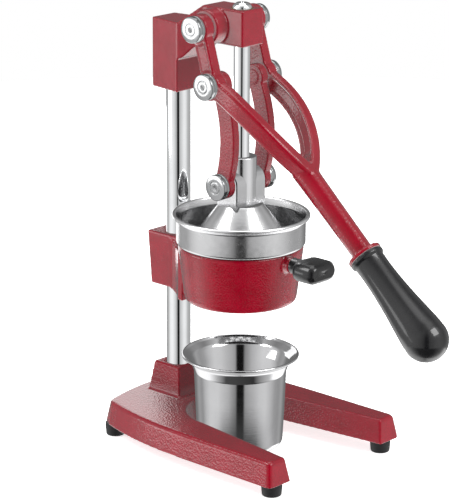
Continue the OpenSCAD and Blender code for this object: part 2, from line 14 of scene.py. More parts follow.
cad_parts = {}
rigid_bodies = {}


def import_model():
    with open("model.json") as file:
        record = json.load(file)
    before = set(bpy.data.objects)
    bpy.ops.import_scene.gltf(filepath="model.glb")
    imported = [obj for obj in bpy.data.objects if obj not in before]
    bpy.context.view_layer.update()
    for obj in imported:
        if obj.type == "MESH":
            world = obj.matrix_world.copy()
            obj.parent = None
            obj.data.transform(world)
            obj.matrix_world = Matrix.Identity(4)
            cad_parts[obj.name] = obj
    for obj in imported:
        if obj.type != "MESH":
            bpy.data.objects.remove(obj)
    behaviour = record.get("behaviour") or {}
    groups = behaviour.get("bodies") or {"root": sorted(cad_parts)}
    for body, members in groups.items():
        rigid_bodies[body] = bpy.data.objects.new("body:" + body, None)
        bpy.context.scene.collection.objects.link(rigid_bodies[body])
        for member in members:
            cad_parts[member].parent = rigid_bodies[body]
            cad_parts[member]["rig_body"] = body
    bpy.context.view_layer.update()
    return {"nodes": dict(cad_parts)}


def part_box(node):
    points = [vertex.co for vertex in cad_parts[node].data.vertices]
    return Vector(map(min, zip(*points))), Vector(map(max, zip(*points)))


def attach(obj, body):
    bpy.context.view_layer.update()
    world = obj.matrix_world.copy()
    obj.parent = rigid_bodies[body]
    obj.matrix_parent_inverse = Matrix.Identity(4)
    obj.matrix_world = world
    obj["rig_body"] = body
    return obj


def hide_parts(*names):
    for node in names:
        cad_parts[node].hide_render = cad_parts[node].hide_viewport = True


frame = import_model()

MM = 0.001
NODES = frame["nodes"]
BODY_OF = {n: o["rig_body"] for n, o in NODES.items()}


def mid(node):
    lo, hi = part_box(node)
    return (Vector(lo) + Vector(hi)) / 2


ROD_Y = mid("guide_rod").y


def box_mm(node):
    """A CAD node's lowest and highest corners, in millimetres from the guide rod."""
    return tuple(Vector((c[0], c[1] - ROD_Y, c[2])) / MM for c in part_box(node))


def place(p):
    return Vector((p[0] * MM, p[1] * MM + ROD_Y, p[2] * MM))


# Materials -------------------------------------------------------------------------------


class Shader:
    """A Principled material with short ways to add the nodes that the finishes share."""

    def __init__(self, name):
        self.material = bpy.data.materials.new(name)
        self.material.use_nodes = True
        self.tree = self.material.node_tree
        self.bsdf = self.tree.nodes["Principled BSDF"]
        self.place = self.new("ShaderNodeTexCoord").outputs["Object"]
        self.normal = None

    def new(self, kind, **values):
        node = self.tree.nodes.new(kind)
        for key, value in values.items():
            if hasattr(node, key):
                setattr(node, key, value)
            else:
                node.inputs[key.replace("_", " ")].default_value = value
        return node

    def link(self, a, b):
        self.tree.links.new(a, b)

    def set(self, **values):
        for key, value in values.items():
            self.bsdf.inputs[key.replace("_", " ")].default_value = value

    def noise(self, scale, detail=3.0):
        node = self.new("ShaderNodeTexNoise", Scale=scale, Detail=detail)
        self.link(self.place, node.inputs["Vector"])
        return node.outputs["Fac"]

    def cells(self, scale):
        node = self.new("ShaderNodeTexVoronoi", feature="SMOOTH_F1", Scale=scale, Smoothness=0.6)
        self.link(self.place, node.inputs["Vector"])
        return node.outputs["Distance"]

    def radius(self):
        """Distance from the guide rod's axis."""
        away = self.new("ShaderNodeVectorMath", operation="SUBTRACT")
        away.inputs[1].default_value = (0, ROD_Y, 0)
        self.link(self.place, away.inputs[0])
        flat = self.new("ShaderNodeVectorMath", operation="MULTIPLY")
        flat.inputs[1].default_value = (1, 1, 0)
        self.link(away.outputs[0], flat.inputs[0])
        length = self.new("ShaderNodeVectorMath", operation="LENGTH")
        self.link(flat.outputs[0], length.inputs[0])
        return length.outputs["Value"]

    def turned(self, scale):
        """Noise that changes with radius and height only: the marks of turning or spinning."""
        split = self.new("ShaderNodeSeparateXYZ")
        self.link(self.place, split.inputs[0])
        rings = self.new("ShaderNodeCombineXYZ")
        self.link(self.radius(), rings.inputs["X"])
        self.link(split.outputs["Z"], rings.inputs["Y"])
        node = self.new("ShaderNodeTexNoise", Scale=scale, Detail=4.0)
        self.link(rings.outputs[0], node.inputs["Vector"])
        return node.outputs["Fac"]

    def ramp(self, factor, stops):
        node = self.new("ShaderNodeValToRGB")
        ramp = node.color_ramp
        while len(ramp.elements) < len(stops):
            ramp.elements.new(0.5)
        for element, (at, colour) in zip(ramp.elements, stops):
            element.position = at
            element.color = (*colour, 1.0) if len(colour) == 3 else (colour[0],) * 3 + (1.0,)
        self.link(factor, node.inputs["Fac"])
        return node.outputs["Color"]

    def bump(self, height, strength, depth):
        node = self.new("ShaderNodeBump", Strength=strength, Distance=depth)
        self.link(height, node.inputs["Height"])
        if self.normal is not None:
            self.link(self.normal, node.inputs["Normal"])
        self.normal = node.outputs["Normal"]
        self.link(self.normal, self.bsdf.inputs["Normal"])
        self.link(self.normal, self.bsdf.inputs["Coat Normal"])

    def colour(self, factor, stops):
        self.link(self.ramp(factor, stops), self.bsdf.inputs["Base Color"])

    def roughness(self, factor, low, high):
        self.link(self.ramp(factor, [(0.3, (low,)), (0.7, (high,))]), self.bsdf.inputs["Roughness"])


DEEP_RED, BRIGHT_RED = (0.205, 0.0, 0.008), (0.25, 0.0005, 0.012)


def enamel(name, cell, cell_depth, grain_depth, rough, dull_above=None):
    """Red hammertone enamel: cell is the size of its dimples in metres. Above the height
    dull_above its clear coat is thin."""
    s = Shader(name)
    s.set(Specular_IOR_Level=0.28, Coat_Roughness=rough)
    facing = s.new("ShaderNodeLayerWeight", Blend=0.5).outputs["Facing"]
    coat = s.ramp(facing, [(0.05, (0.0,)), (0.35, (1.0,))])
    if dull_above:
        split = s.new("ShaderNodeSeparateXYZ")
        s.link(s.place, split.inputs[0])
        height = s.ramp(split.outputs["Z"], [(dull_above, (1.0,)), (dull_above + 0.004, (0.25,))])
        both = s.new("ShaderNodeMath", operation="MULTIPLY")
        s.link(coat, both.inputs[0])
        s.link(height, both.inputs[1])
        coat = both.outputs[0]
    s.link(coat, s.bsdf.inputs["Coat Weight"])
    s.colour(s.noise(60.0), [(0.3, DEEP_RED), (0.7, BRIGHT_RED)])
    s.roughness(s.noise(220.0), rough - 0.04, rough + 0.05)
    s.bump(s.cells(1.0 / cell), 1.0, cell_depth)
    s.bump(s.noise(1400.0, 2.0), 1.0, grain_depth)
    return s.material


def metal(name, colour, rough, lines=None, line_depth=0.0, painted_shade_radius=None):
    """Plated or polished metal, with turning marks where lines gives their scale. Nearer the
    rod's axis than the radius given last, in metres, its colour is darker, as painted shade."""
    s = Shader(name)
    s.set(Metallic=1.0)
    low = tuple(c * 0.94 for c in colour)
    # painted shade: within that radius the colour drops to 0.3 of itself, standing in for the shade
    # inside the bowl
    if painted_shade_radius:
        painted_shade_colour = tuple(c * 0.3 for c in colour)
        s.colour(s.radius(), [(painted_shade_radius, painted_shade_colour), (painted_shade_radius + 0.0004, colour)])
    else:
        s.colour(s.noise(45.0), [(0.35, low), (0.65, colour)])
    s.roughness(s.noise(180.0), rough * 0.8, rough * 1.25)
    if lines:
        s.bump(s.turned(lines), 1.0, line_depth)
    else:
        s.bump(s.noise(900.0, 2.0), 1.0, 0.000004)
    return s.material


def moulded(name, colour, rough, grain_depth, coat):
    """Moulded plastic or rubber."""
    s = Shader(name)
    s.set(Specular_IOR_Level=0.3, Coat_Weight=coat, Coat_Roughness=0.07)
    s.colour(s.noise(90.0), [(0.3, tuple(c * 0.8 for c in colour)), (0.7, colour)])
    s.roughness(s.noise(300.0), rough - 0.05, rough + 0.06)
    s.bump(s.noise(1500.0, 3.0), 1.0, grain_depth)
    return s.material


ENAMEL_BASE = enamel("enamel_base", 0.0017, 0.00013, 0.00003, 0.14, 0.0375)
ENAMEL_RING = enamel("enamel_ring", 0.0016, 0.00013, 0.00003, 0.13)
ENAMEL_HEAD = enamel("enamel_head", 0.0060, 0.00008, 0.00001, 0.22)
ENAMEL_LEVER = enamel("enamel_lever", 0.0020, 0.00012, 0.00003, 0.17)
ENAMEL_LINK = enamel("enamel_link", 0.0015, 0.00012, 0.00004, 0.24)
CHROME = metal("chrome", (0.90, 0.91, 0.92), 0.05)
CAP_CHROME = metal("cap_chrome", (0.40, 0.405, 0.41), 0.12)
HUB_STEEL = metal("hub_steel", (0.74, 0.74, 0.75), 0.16)
CONE_STEEL = metal("cone_steel", (0.72, 0.72, 0.73), 0.20, 2600.0, 0.00003)
# painted shade: within 56.6 mm of the axis (the bowl's inner wall and lower part, the strainer
# floor and the reamer) the steel is coloured darker
BOWL_STEEL = metal("bowl_steel", (0.85, 0.85, 0.86), 0.22, 1800.0, 0.00002, 0.0566)
CUP_STEEL = metal("cup_steel", (0.62, 0.62, 0.63), 0.09, 1500.0, 0.000008)
BOLT_STEEL = metal("bolt_steel", (0.60, 0.60, 0.61), 0.30)
BRONZE = metal("bush_bronze", (0.62, 0.40, 0.17), 0.30)
GRIP = moulded("black_grip", (0.005, 0.005, 0.006), 0.30, 0.00001, 0.7)
RUBBER = moulded("foot_rubber", (0.017, 0.017, 0.018), 0.50, 0.00004, 0.0)


# Meshes ----------------------------------------------------------------------------------

WELD = 1e-4

# Only these pieces are mirrored in polished faces, as in a retouched studio picture
MIRRORED = ("strainer_bowl_spun", "strainer_floor", "reamer")



def to_frame(name, bm):
    """A bmesh in millimetres made a mesh in the frame's metres."""
    bmesh.ops.remove_doubles(bm, verts=bm.verts, dist=WELD)
    bmesh.ops.recalc_face_normals(bm, faces=bm.faces)
    for v in bm.verts:
        v.co = place(v.co)
    mesh = bpy.data.meshes.new(name)
    bm.to_mesh(mesh)
    bm.free()
    return mesh


def finish_piece(name, bm, material, node_names, sharp=35.0):
    """Turns a bmesh in millimetres into a piece that stands for CAD nodes and rides with them."""
    return add_piece(name, to_frame(name, bm), material, node_names, sharp)


def add_piece(name, mesh, material, node_names, sharp):
    mesh.materials.clear()
    mesh.materials.append(material)
    mesh.shade_smooth()
    if sharp:
        mesh.set_sharp_from_angle(angle=math.radians(sharp))
    piece = bpy.data.objects.new(name, mesh)
    bpy.context.scene.collection.objects.link(piece)
    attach(piece, BODY_OF[node_names[0]])
    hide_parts(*node_names)
    piece.visible_glossy = name in MIRRORED
    return piece


def rounded(points, steps=5, closed=False):
    """Points (a, b) or (a, b, r); corners with an r are replaced by an arc of that radius."""
    out = []
    n = len(points)
    for i, p in enumerate(points):
        here = Vector(p[:2])
        if len(p) < 3 or (not closed and i in (0, n - 1)):
            out.append(here)
            continue
        before, after = (Vector(points[j % n][:2]) - here for j in (i - 1, i + 1))
        half = before.angle(after) / 2
        cut = min(p[2] / math.tan(half), before.length * 0.49, after.length * 0.49)
        if cut < 1e-4:
            out += [here] * (steps + 1)
            continue
        radius = cut * math.tan(half)
        centre = here + (before.normalized() + after.normalized()).normalized() * (
            radius / math.sin(half)
        )
        start = here + before.normalized() * cut - centre
        turn = start.angle_signed(here + after.normalized() * cut - centre)
        for k in range(steps + 1):
            a = -turn * k / steps
            out.append(
                centre
                + Vector(
                    (
                        start.x * math.cos(a) - start.y * math.sin(a),
                        start.x * math.sin(a) + start.y * math.cos(a),
                    )
                )
            )
    return out


def arc(centre, radius, a0, a1, steps):
    """Points of an arc in a profile, angles in degrees from +r towards +z."""
    return [
        (
            centre[0] + radius * math.cos(math.radians(a0 + (a1 - a0) * k / steps)),
            centre[1] + radius * math.sin(math.radians(a0 + (a1 - a0) * k / steps)),
        )
        for k in range(steps + 1)
    ]


UP = Matrix.Identity(4)


def axis_at(origin, direction):
    """A frame whose z runs along direction from origin, for turned pieces."""
    turn = Vector(direction).to_track_quat("Z", "Y").to_matrix().to_4x4()
    return Matrix.Translation(Vector(origin)) @ turn


def lathe(bm, profile, frame_at=UP, segments=96, shape=None):
    """Revolves a profile of (r, z) points about frame_at's z. shape(point number,
        angle) scales r."""
    rings = []
    for i, (r, z) in enumerate(profile):
        if r < 1e-6:
            rings.append([bm.verts.new(frame_at @ Vector((0, 0, z)))])
            continue
        ring = []
        for k in range(segments):
            a = 2 * math.pi * k / segments
            s = r * (shape(i, a) if shape else 1.0)
            ring.append(bm.verts.new(frame_at @ Vector((s * math.cos(a), s * math.sin(a), z))))
        rings.append(ring)
    for low, high in zip(rings, rings[1:]):
        for k in range(segments):
            j = (k + 1) % segments
            corners = [low[k % len(low)], low[j % len(low)], high[j % len(high)],
                high[k % len(high)]]
            corners = list(dict.fromkeys(corners))
            if len(corners) > 2:
                bm.faces.new(corners)


def turned_piece(name, profile, material, node_names, frame_at=UP, segments=96, sharp=35.0):
    """One turned piece, its profile closed on itself or ending on the axis at both ends."""
    bm = bmesh.new()
    lathe(bm, profile, frame_at, segments)
    return finish_piece(name, bm, material, node_names, sharp)


def prism(bm, outline, lift):
    """A solid between two copies of an outline: lift(point, end) gives the place for end 0 or 1."""
    rings = [[bm.verts.new(lift(p, end)) for p in outline] for end in (0, 1)]
    n = len(outline)
    for k in range(n):
        j = (k + 1) % n
        bm.faces.new([rings[0][k], rings[0][j], rings[1][j], rings[1][k]])
    bm.faces.new(rings[0][::-1])
    bm.faces.new(rings[1])


def loft(bm, rings):
    """A closed solid through rings of points with the same count."""
    made = [[bm.verts.new(p) for p in ring] for ring in rings]
    n = len(made[0])
    for low, high in zip(made, made[1:]):
        for k in range(n):
            j = (k + 1) % n
            bm.faces.new([low[k], low[j], high[j], high[k]])
    bm.faces.new(made[0][::-1])
    bm.faces.new(made[-1])


def cast(name, mesh, voxel, passes, material, node_names):
    """A casting: closed solids merged on a voxel grid of that size in millimetres, then
    smoothed, which rounds every edge and fillets every joint as a sand casting has them."""
    source = bpy.data.objects.new(name + "_source", mesh)
    bpy.context.scene.collection.objects.link(source)
    merge = source.modifiers.new("merge", "REMESH")
    merge.mode = "VOXEL"
    merge.voxel_size = voxel * MM
    merge.adaptivity = 0.0
    ease = source.modifiers.new("ease", "SMOOTH")
    ease.factor = 0.5
    ease.iterations = passes
    solid = bpy.data.meshes.new_from_object(
        source.evaluated_get(bpy.context.evaluated_depsgraph_get())
    )
    solid.name = name
    bpy.data.objects.remove(source)
    return add_piece(name, solid, material, node_names, None)


def cad_copy(node):
    bm = bmesh.new()
    bm.from_mesh(NODES[node].data)
    bmesh.ops.remove_doubles(bm, verts=bm.verts, dist=1e-6)
    mesh = bpy.data.meshes.new(node + "_copy")
    bm.to_mesh(mesh)
    bm.free()
    return mesh


# Stand -----------------------------------------------------------------------------------

cast("base", cad_copy("base_casting"), 1.0, 4, ENAMEL_BASE, ["base_casting"])
cast("head", cad_copy("head_casting"), 0.8, 4, ENAMEL_HEAD, ["head_casting"])
cast("bracket", cad_copy("bowl_bracket"), 0.9, 4, ENAMEL_RING, ["bowl_bracket"])

column_lo, column_hi = box_mm("column")
column_at = ((column_lo + column_hi) / 2).xy
column_r = (column_hi.x - column_lo.x) / 2
turned_piece(
    "column",
    rounded(
        [(0, column_lo.z), (column_r, column_lo.z, 0.8), (column_r, column_hi.z, 0.8), (0,
            column_hi.z)]
    ),
    CHROME,
    ["column"],
    Matrix.Translation((column_at.x, column_at.y, 0)),
)

feet_lo, feet_hi = box_mm("rubber_feet")
FOOT_R = 9.2
foot_h = feet_hi.z - feet_lo.z
bm = bmesh.new()
foot_profile = rounded(
    [
        (2, foot_h), (FOOT_R, foot_h, 0.5), (FOOT_R, foot_h - 3.5, 1.0), (FOOT_R - 0.7, 0.4, 1.2),
        (6.5, 0, 0.4), (4.8, 0, 0.5), (4.8, 3.6, 0.4), (2, 3.6), (2, foot_h),
    ]
)
REAR_FOOT_X = 61.0
for x, y in [(feet_hi.x - FOOT_R, feet_lo.y + FOOT_R), (REAR_FOOT_X, feet_hi.y - FOOT_R)]:
    for side in (-1, 1):
        lathe(bm, foot_profile, Matrix.Translation((side * x, y, 0)), 48)
finish_piece("feet", bm, RUBBER, ["rubber_feet"])


CAP_T = 7.0


def cap_profile(radius):
    """Pivot cap: a groove round its side, a fine ring in its face and a socket in the middle."""
    t = CAP_T
    return rounded(
        [
            (0, 0), (radius - 0.3, 0, 0.3), (radius, 1.5, 0.15), (radius - 0.7, 1.7, 0.1),
            (radius - 0.7, 2.5, 0.1), (radius, 2.7, 0.15), (radius, t - 0.3, 0.9), (6.0, t, 0.15),
            (5.8, t - 0.45, 0.1), (5.2, t - 0.45, 0.1), (5.0, t, 0.15), (2.5, t - 0.05, 0.2),
            (1.9, t - 0.35, 0.1), (1.5, t - 0.4, 0.1), (1.4, t - 3.0), (0, t - 3.0),
        ],
        3,
    )


def caps(name, node, sides):
    lo, hi = box_mm(node)
    centre = (lo + hi) / 2
    radius = (hi.y - lo.y) / 2
    outer = hi.x if 1 in sides else -lo.x
    bm = bmesh.new()
    for side in sides:
        lathe(
            bm,
            cap_profile(radius),
            axis_at((side * (outer - CAP_T), centre.y, centre.z), (side, 0, 0)),
            72,
        )
    finish_piece(name, bm, CAP_CHROME, [node], 25.0)
    return centre


pivot_a = caps("head_caps", "head_pivot_caps", (-1, 1))
pivot_b = caps("elbow_caps_turned", "elbow_caps", (-1, 1))
pivot_c = caps("lower_cap_left_turned", "lower_cap_left", (-1,))
caps("lower_cap_right_turned", "lower_cap_right", (1,))

# Front handle: a neck that widens into a flattened body with a bevelled end
grip_lo, grip_hi = box_mm("front_handle_grip")
grip_z = (grip_lo.z + grip_hi.z) / 2
half_x, half_z = grip_hi.x, (grip_hi.z - grip_lo.z) / 2
NECK_R = 7.0


def stadium(hx, hz, y, count=64):
    """A ring round the handle: a rectangle whose ends are half circles."""
    flat = hx - hz
    ring = []
    for k in range(count):
        a = 2 * math.pi * k / count
        x = hz * math.cos(a) + (flat if math.cos(a) > 1e-9 else -flat if math.cos(a) < -1e-9 else 0)
        ring.append(Vector((x, y, grip_z + hz * math.sin(a))))
    return ring


bm = bmesh.new()
front, back = grip_lo.y, grip_hi.y
HOLE_R, HOLE_DEPTH = 1.3, 2.5
stations = [
    (NECK_R - 0.6, NECK_R - 0.6, back), (NECK_R, NECK_R, back - 0.5), (NECK_R, NECK_R, back - 7),
    (NECK_R + 1.0, NECK_R, back - 9), (half_x - 3.4, half_z - 1.3, back - 11.6),
    (half_x - 1.2, half_z - 0.35, back - 13.6), (half_x - 0.3, half_z, back - 16),
    (half_x, half_z, back - 20), (half_x - 0.1, half_z, front + 5.0),
    (half_x - 0.6, half_z - 0.4, front + 3.6), (half_x - 2.6, half_z - 2.2, front + 1.0),
    (half_x - 3.6, half_z - 3.1, front + 0.2), (half_x - 5.0, half_z - 4.2, front),
    (HOLE_R + 0.3, HOLE_R + 0.3, front), (HOLE_R, HOLE_R, front + 0.3),
    (HOLE_R, HOLE_R, front + HOLE_DEPTH),
]
loft(bm, [stadium(max(hx, hz), hz, y) for hx, hz, y in stations])
finish_piece("front_handle", bm, GRIP, ["front_handle_grip"], 50.0)

# Press -----------------------------------------------------------------------------------

rod_lo, rod_hi = box_mm("guide_rod")
rod_r = (rod_hi.x - rod_lo.x) / 2
turned_piece(
    "guide_rod_turned",
    rounded([(0, rod_lo.z), (rod_r, rod_lo.z, 0.5), (rod_r, rod_hi.z, 0.1), (0, rod_hi.z)]),
    CHROME,
    ["guide_rod"],
)
stop_lo, stop_hi = box_mm("rod_stop_cap")
stop_r = stop_hi.x
turned_piece(
    "rod_stop",
    rounded(
        [
            (0, stop_lo.z), (stop_r, stop_lo.z, 0.3), (stop_r, stop_lo.z + 1.6, 0.8),
            (stop_r - 0.9, stop_lo.z + 2.9, 1.6), (stop_r - 3.4, stop_hi.z, 0.7),
            (2.0, stop_hi.z, 0.2), (1.7, stop_hi.z - 0.5, 0.1), (1.7, stop_hi.z - 2.2),
            (0, stop_hi.z - 2.2),
        ]
    ),
    CHROME,
    ["rod_stop_cap"],
)

hub_hi = box_mm("press_hub")[1]
cup_lo, cup_hi = box_mm("press_cup")
press_r = cup_hi.x
HUB_R = 13.4
EAR_R = 12.0
CONE_SLOPE = 1.29
SKIRT = 9.0
WALL = 3.0
edge_z = cup_lo.z + SKIRT
apex_z = edge_z + CONE_SLOPE * press_r
ear_x = hub_hi.x
bm = bmesh.new()
lathe(
    bm,
    rounded(
        [
            (rod_r + 0.02, cup_hi.z - 1), (HUB_R, cup_hi.z - 1), (HUB_R, hub_hi.z, 0.8),
            (rod_r + 1.0, hub_hi.z, 0.3), (rod_r + 0.02, hub_hi.z - 1.0),
            (rod_r + 0.02, cup_hi.z - 1),
        ]
    ),
    UP,
    96,
)
# the ears: a block with a round top, standing on the cone, its lower face following it
ear_outline = [(-EAR_R, 0)] + [
    (EAR_R * math.cos(math.radians(180 - 7.5 * k)), EAR_R * math.sin(math.radians(180 - 7.5 * k)))
    for k in range(1, 24)
] + [(EAR_R, 0)]
EAR_STEPS = (-ear_x, -ear_x + 0.8, -13.0, 13.0, ear_x - 0.8, ear_x)
EAR_FLOOR = cup_hi.z - WALL + 0.2
ear_rings = []
for x in EAR_STEPS:
    shrink = 0.8 if abs(x) == ear_x else 0.0
    ring = [
        Vector((x, y * (1 - shrink / EAR_R), pivot_c.z + z * (1 - shrink / EAR_R)))
        for y, z in ear_outline
    ]
    for y in (12, 9.6, 7.2, 4.8, 2.4, 0, -2.4, -4.8, -7.2, -9.6, -12):
        y *= 1 - shrink / EAR_R
        cone_z = apex_z - CONE_SLOPE * math.hypot(x, y)
        ring.append(Vector((x, y, min(EAR_FLOOR, cone_z - 1.0))))
    ear_rings.append(ring)
loft(bm, ear_rings)
finish_piece("hub", bm, HUB_STEEL, ["press_hub"], 30.0)


def cone_at(z):
    return (apex_z - z) / CONE_SLOPE


turned_piece(
    "press_cone",
    rounded(
        [
            (3.2, cup_hi.z - WALL), (3.2, cup_hi.z), (cone_at(cup_hi.z), cup_hi.z, 1.0),
            (press_r - 0.4, edge_z + 1.0, 2.0), (press_r, edge_z - 1.5, 1.0),
            (press_r, cup_lo.z + 0.6, 0.5), (press_r - 1.2, cup_lo.z, 0.5),
            (press_r - WALL, cup_lo.z + 0.8, 0.5), (press_r - WALL, edge_z - 2, 2.0),
            (cone_at(cup_hi.z) - 2.0, cup_hi.z - WALL, 1.5), (3.2, cup_hi.z - WALL),
        ]
    ),
    CONE_STEEL,
    ["press_cup"],
    segments=128,
)

# Lever -----------------------------------------------------------------------------------

ARM_IN, ARM_OUT = 27.4, 38.0
ARM_MID = (ARM_IN + ARM_OUT) / 2
ARM_HALF = (ARM_OUT - ARM_IN) / 2
ARM_DEPTH = 17.5
BOSS_R = 12.7
ARCH_R, ARCH_START = 164.0, 21.0
PLAN_R, PLAN_START = 131.0, 25.0
STEM_AT = Vector((0, -140.0, 209.0))
STEM_ANGLE = 41.2
arch_centre = Vector(
    (
        pivot_b.y + ARCH_R * math.sin(math.radians(ARCH_START)),
        pivot_b.z - ARCH_R * math.cos(math.radians(ARCH_START)),
    )
)
stem_down = Vector((0, -math.cos(math.radians(STEM_ANGLE)), -math.sin(math.radians(STEM_ANGLE))))


def fork_centre(s):
    """The middle of the fork's arm at a length s along it from the elbow, and its slope."""
    slope = math.radians(ARCH_START) + s / ARCH_R
    turn = max(0.0, s - PLAN_START)
    x = ARM_MID - PLAN_R + math.sqrt(max(0.0, PLAN_R**2 - turn**2))
    return (
        Vector(
            (
                max(x, 0.0),
                arch_centre.x - ARCH_R * math.sin(slope),
                arch_centre.y + ARCH_R * math.cos(slope),
            )
        ),
        slope,
    )


def ease_between(x, a, b):
    t = min(1.0, max(0.0, (x - a) / (b - a)))
    return t * t * (3 - 2 * t)


CHANNEL_DEPTH = 2.8
PIN_COVER_R = 6.0


def fork_section(s):
    """A ring of the arm: a rounded bar with a channel cast into its inner side."""
    centre, slope = fork_centre(s)
    ahead = (fork_centre(s + 0.5)[0] - fork_centre(s - 0.5)[0]).normalized()
    lift = Vector((0, -math.sin(slope), math.cos(slope)))
    out = ahead.cross(lift).normalized()
    if out.x < 0:
        out = -out
    cut = CHANNEL_DEPTH * ease_between(s, 12, 20) * (1 - ease_between(s, 92, 100))
    d, h = ARM_DEPTH / 2, ARM_HALF
    outline = rounded(
        [
            (h, d, 3.2), (h, -d, 3.2), (-h, -d, 1.2), (-h, -d + 2.2, 0.6),
            (-h + cut, -d + 3.2, 0.8), (-h + cut, d - 4.2, 0.8), (-h, d - 2.8, 0.6), (-h, d, 1.4),
        ],
        4,
        True,
    )
    return [centre + out * u + lift * v for u, v in outline]


def lever_solids():
    """Bosses, upper arms, the fork's two arms, the stem and its collar."""
    bm = bmesh.new()
    for pivot, bore in ((pivot_a, 5.05), (pivot_b, 4.65)):
        for side in (-1, 1):
            lathe(
                bm,
                [(bore, 0), (BOSS_R, 0), (BOSS_R, ARM_OUT - ARM_IN), (bore, ARM_OUT - ARM_IN),
                    (bore, 0)],
                axis_at((side * ARM_IN, pivot.y, pivot.z), (side, 0, 0)),
                64,
            )
    down = pivot_b - pivot_a
    down.x = 0
    length = down.length
    down.normalize()
    forward = Vector((0, down.z, -down.y))
    if forward.y > 0:
        forward = -forward
    section = [
        (ARM_IN + 0.2, 9.0), (ARM_OUT - 0.3, 9.0), (ARM_OUT - 0.3, 6.2), (ARM_OUT - 2.0, 4.6),
        (ARM_OUT - 1.6, -4.0), (ARM_OUT - 3.2, -9.0),
        (ARM_IN + 0.2, -9.0),
    ]
    for side in (-1, 1):
        prism(
            bm,
            section,
            lambda p, end, side=side: Vector((side * p[0], pivot_a.y, pivot_a.z))
            + forward * p[1]
            + down * (length - 7.5 if end else 7.5),
        )
        stations = [7.0 + 2.5 * k for k in range(42)]
        rings = []
        for s in stations:
            ring = fork_section(s)
            rings.append([Vector((side * p.x, p.y, p.z)) for p in ring])
        loft(bm, rings)
    lathe(
        bm,
        [(0, -92), (10.8, -92), (10.0, -45), (9.4, 5), (0, 5)],
        axis_at(STEM_AT, stem_down),
        64,
    )
    lathe(bm, [(0, 1.6), (15.7, 1.6), (15.7, 5), (0, 5)], axis_at(STEM_AT, stem_down), 64)
    return to_frame("lever_solids", bm)


cast("lever", lever_solids(), 0.9, 5, ENAMEL_LEVER, ["lever_casting"])


def link_solids(node, side):
    """The link, with a skin over the inner end of its elbow bore."""
    mesh = cad_copy(node)
    lo, hi = box_mm(node)
    inner = min(abs(lo.x), abs(hi.x))
    bm = bmesh.new()
    lathe(
        bm,
        [(0, -0.5), (PIN_COVER_R, -0.5), (PIN_COVER_R, 0.5), (0, 0.5)],
        axis_at((side * inner, pivot_b.y, pivot_b.z), (side, 0, 0)),
        48,
    )
    bmesh.ops.recalc_face_normals(bm, faces=bm.faces)
    for v in bm.verts:
        v.co = place(v.co)
    bm.from_mesh(mesh)
    bm.to_mesh(mesh)
    bm.free()
    return mesh


cast("left_link_cast", link_solids("link_left", -1), 0.7, 5, ENAMEL_LINK, ["link_left"])
cast("right_link_cast", link_solids("link_right", 1), 0.7, 5, ENAMEL_LINK, ["link_right"])

COLLAR_AT = 5.0
GRIP_LENGTH = 108.0
GRIP_R = 19.5
turned_piece(
    "lever_grip_moulded",
    [(0, 0)]
    + rounded([(0, 0), (14.4, 0, 0.8), (15.4, 0.9, 0.9), (15.4, 3.4, 1.2), (13.7, 5.4, 1.8),
        (13.5, 12)])[1:]
    + [(13.5, 18), (13.75, 26), (14.2, 34), (14.9, 43), (15.75, 52), (16.8, 61), (17.85, 69.5),
        (18.75, 77)]
    + [(19.25, 82.5)]
    + arc((0, GRIP_LENGTH - GRIP_R), GRIP_R, -8, 90, 20),
    GRIP,
    ["lever_grip"],
    axis_at(STEM_AT + stem_down * COLLAR_AT, stem_down),
    sharp=60.0,
)

# Strainer and cup --------------------------------------------------------------------------

bowl_lo, bowl_hi = box_mm("strainer_bowl")
rim_r, rim_z, floor_z = bowl_hi.x, bowl_hi.z, bowl_lo.z
BEAD = 1.8
SHEET = 1.2
BOWL_WALL = 57.4
SHOULDER_Z = 189.3
LOW_R, BOTTOM_R = 50.4, 47.4
bead = (rim_r - BEAD, rim_z - BEAD)
HOLES_OUT = 43.5
turned_piece(
    "strainer_bowl_spun",
    rounded(
        [
            (HOLES_OUT, floor_z), (BOTTOM_R, floor_z, 3.0), (LOW_R, SHOULDER_Z - 1.5, 1.0),
            (LOW_R + 1.2, SHOULDER_Z, 0.8), (BOWL_WALL, SHOULDER_Z, 3.0),
            (BOWL_WALL, rim_z - 5.5, 3.0), (bead[0] - 0.3, bead[1] - BEAD),
        ]
    )
    + arc(bead, BEAD, -80, 170, 14)
    + rounded(
        [
            (bead[0] - BEAD, bead[1] + 0.2), (BOWL_WALL - SHEET, rim_z - 6.5, 4.0),
            (BOWL_WALL - SHEET, SHOULDER_Z + SHEET, 2.5), (LOW_R + 0.2, SHOULDER_Z + SHEET, 1.0),
            (LOW_R - SHEET, SHOULDER_Z - 1.5, 1.0), (BOTTOM_R - SHEET, floor_z + SHEET, 2.5),
            (HOLES_OUT, floor_z + SHEET), (HOLES_OUT, floor_z),
        ]
    ),
    BOWL_STEEL,
    ["strainer_bowl"],
    segments=160,
)

# The strainer's floor: a plate with two rings of slots round the reamer
SLOTS = 40
PLATE_RINGS = [0.0, 20.0, 34.8, 35.6, 38.4, 39.2, 42.0, HOLES_OUT + 1.2]
SLOT_RINGS = (3, 5)
steps = SLOTS * 4
bm = bmesh.new()
grid = []
for r in PLATE_RINGS[1:]:
    grid.append(
        [
            bm.verts.new((r * math.cos(a), r * math.sin(a), floor_z + SHEET / 2))
            for a in (2 * math.pi * k / steps for k in range(steps))
        ]
    )
middle = bm.verts.new((0, 0, floor_z + SHEET / 2))
for k in range(steps):
    j = (k + 1) % steps
    bm.faces.new([middle, grid[0][k], grid[0][j]])
    for i in range(len(grid) - 1):
        stagger = k + (2 if i + 1 == SLOT_RINGS[1] else 0)
        if i + 1 in SLOT_RINGS and stagger % 4 < 2:
            continue
        bm.faces.new([grid[i][k], grid[i + 1][k], grid[i + 1][j], grid[i][j]])
plate = finish_piece("strainer_floor", bm, BOWL_STEEL, ["strainer_bowl"])
thick = plate.modifiers.new("sheet", "SOLIDIFY")
thick.thickness = SHEET * MM * 0.96
thick.offset = 0.0

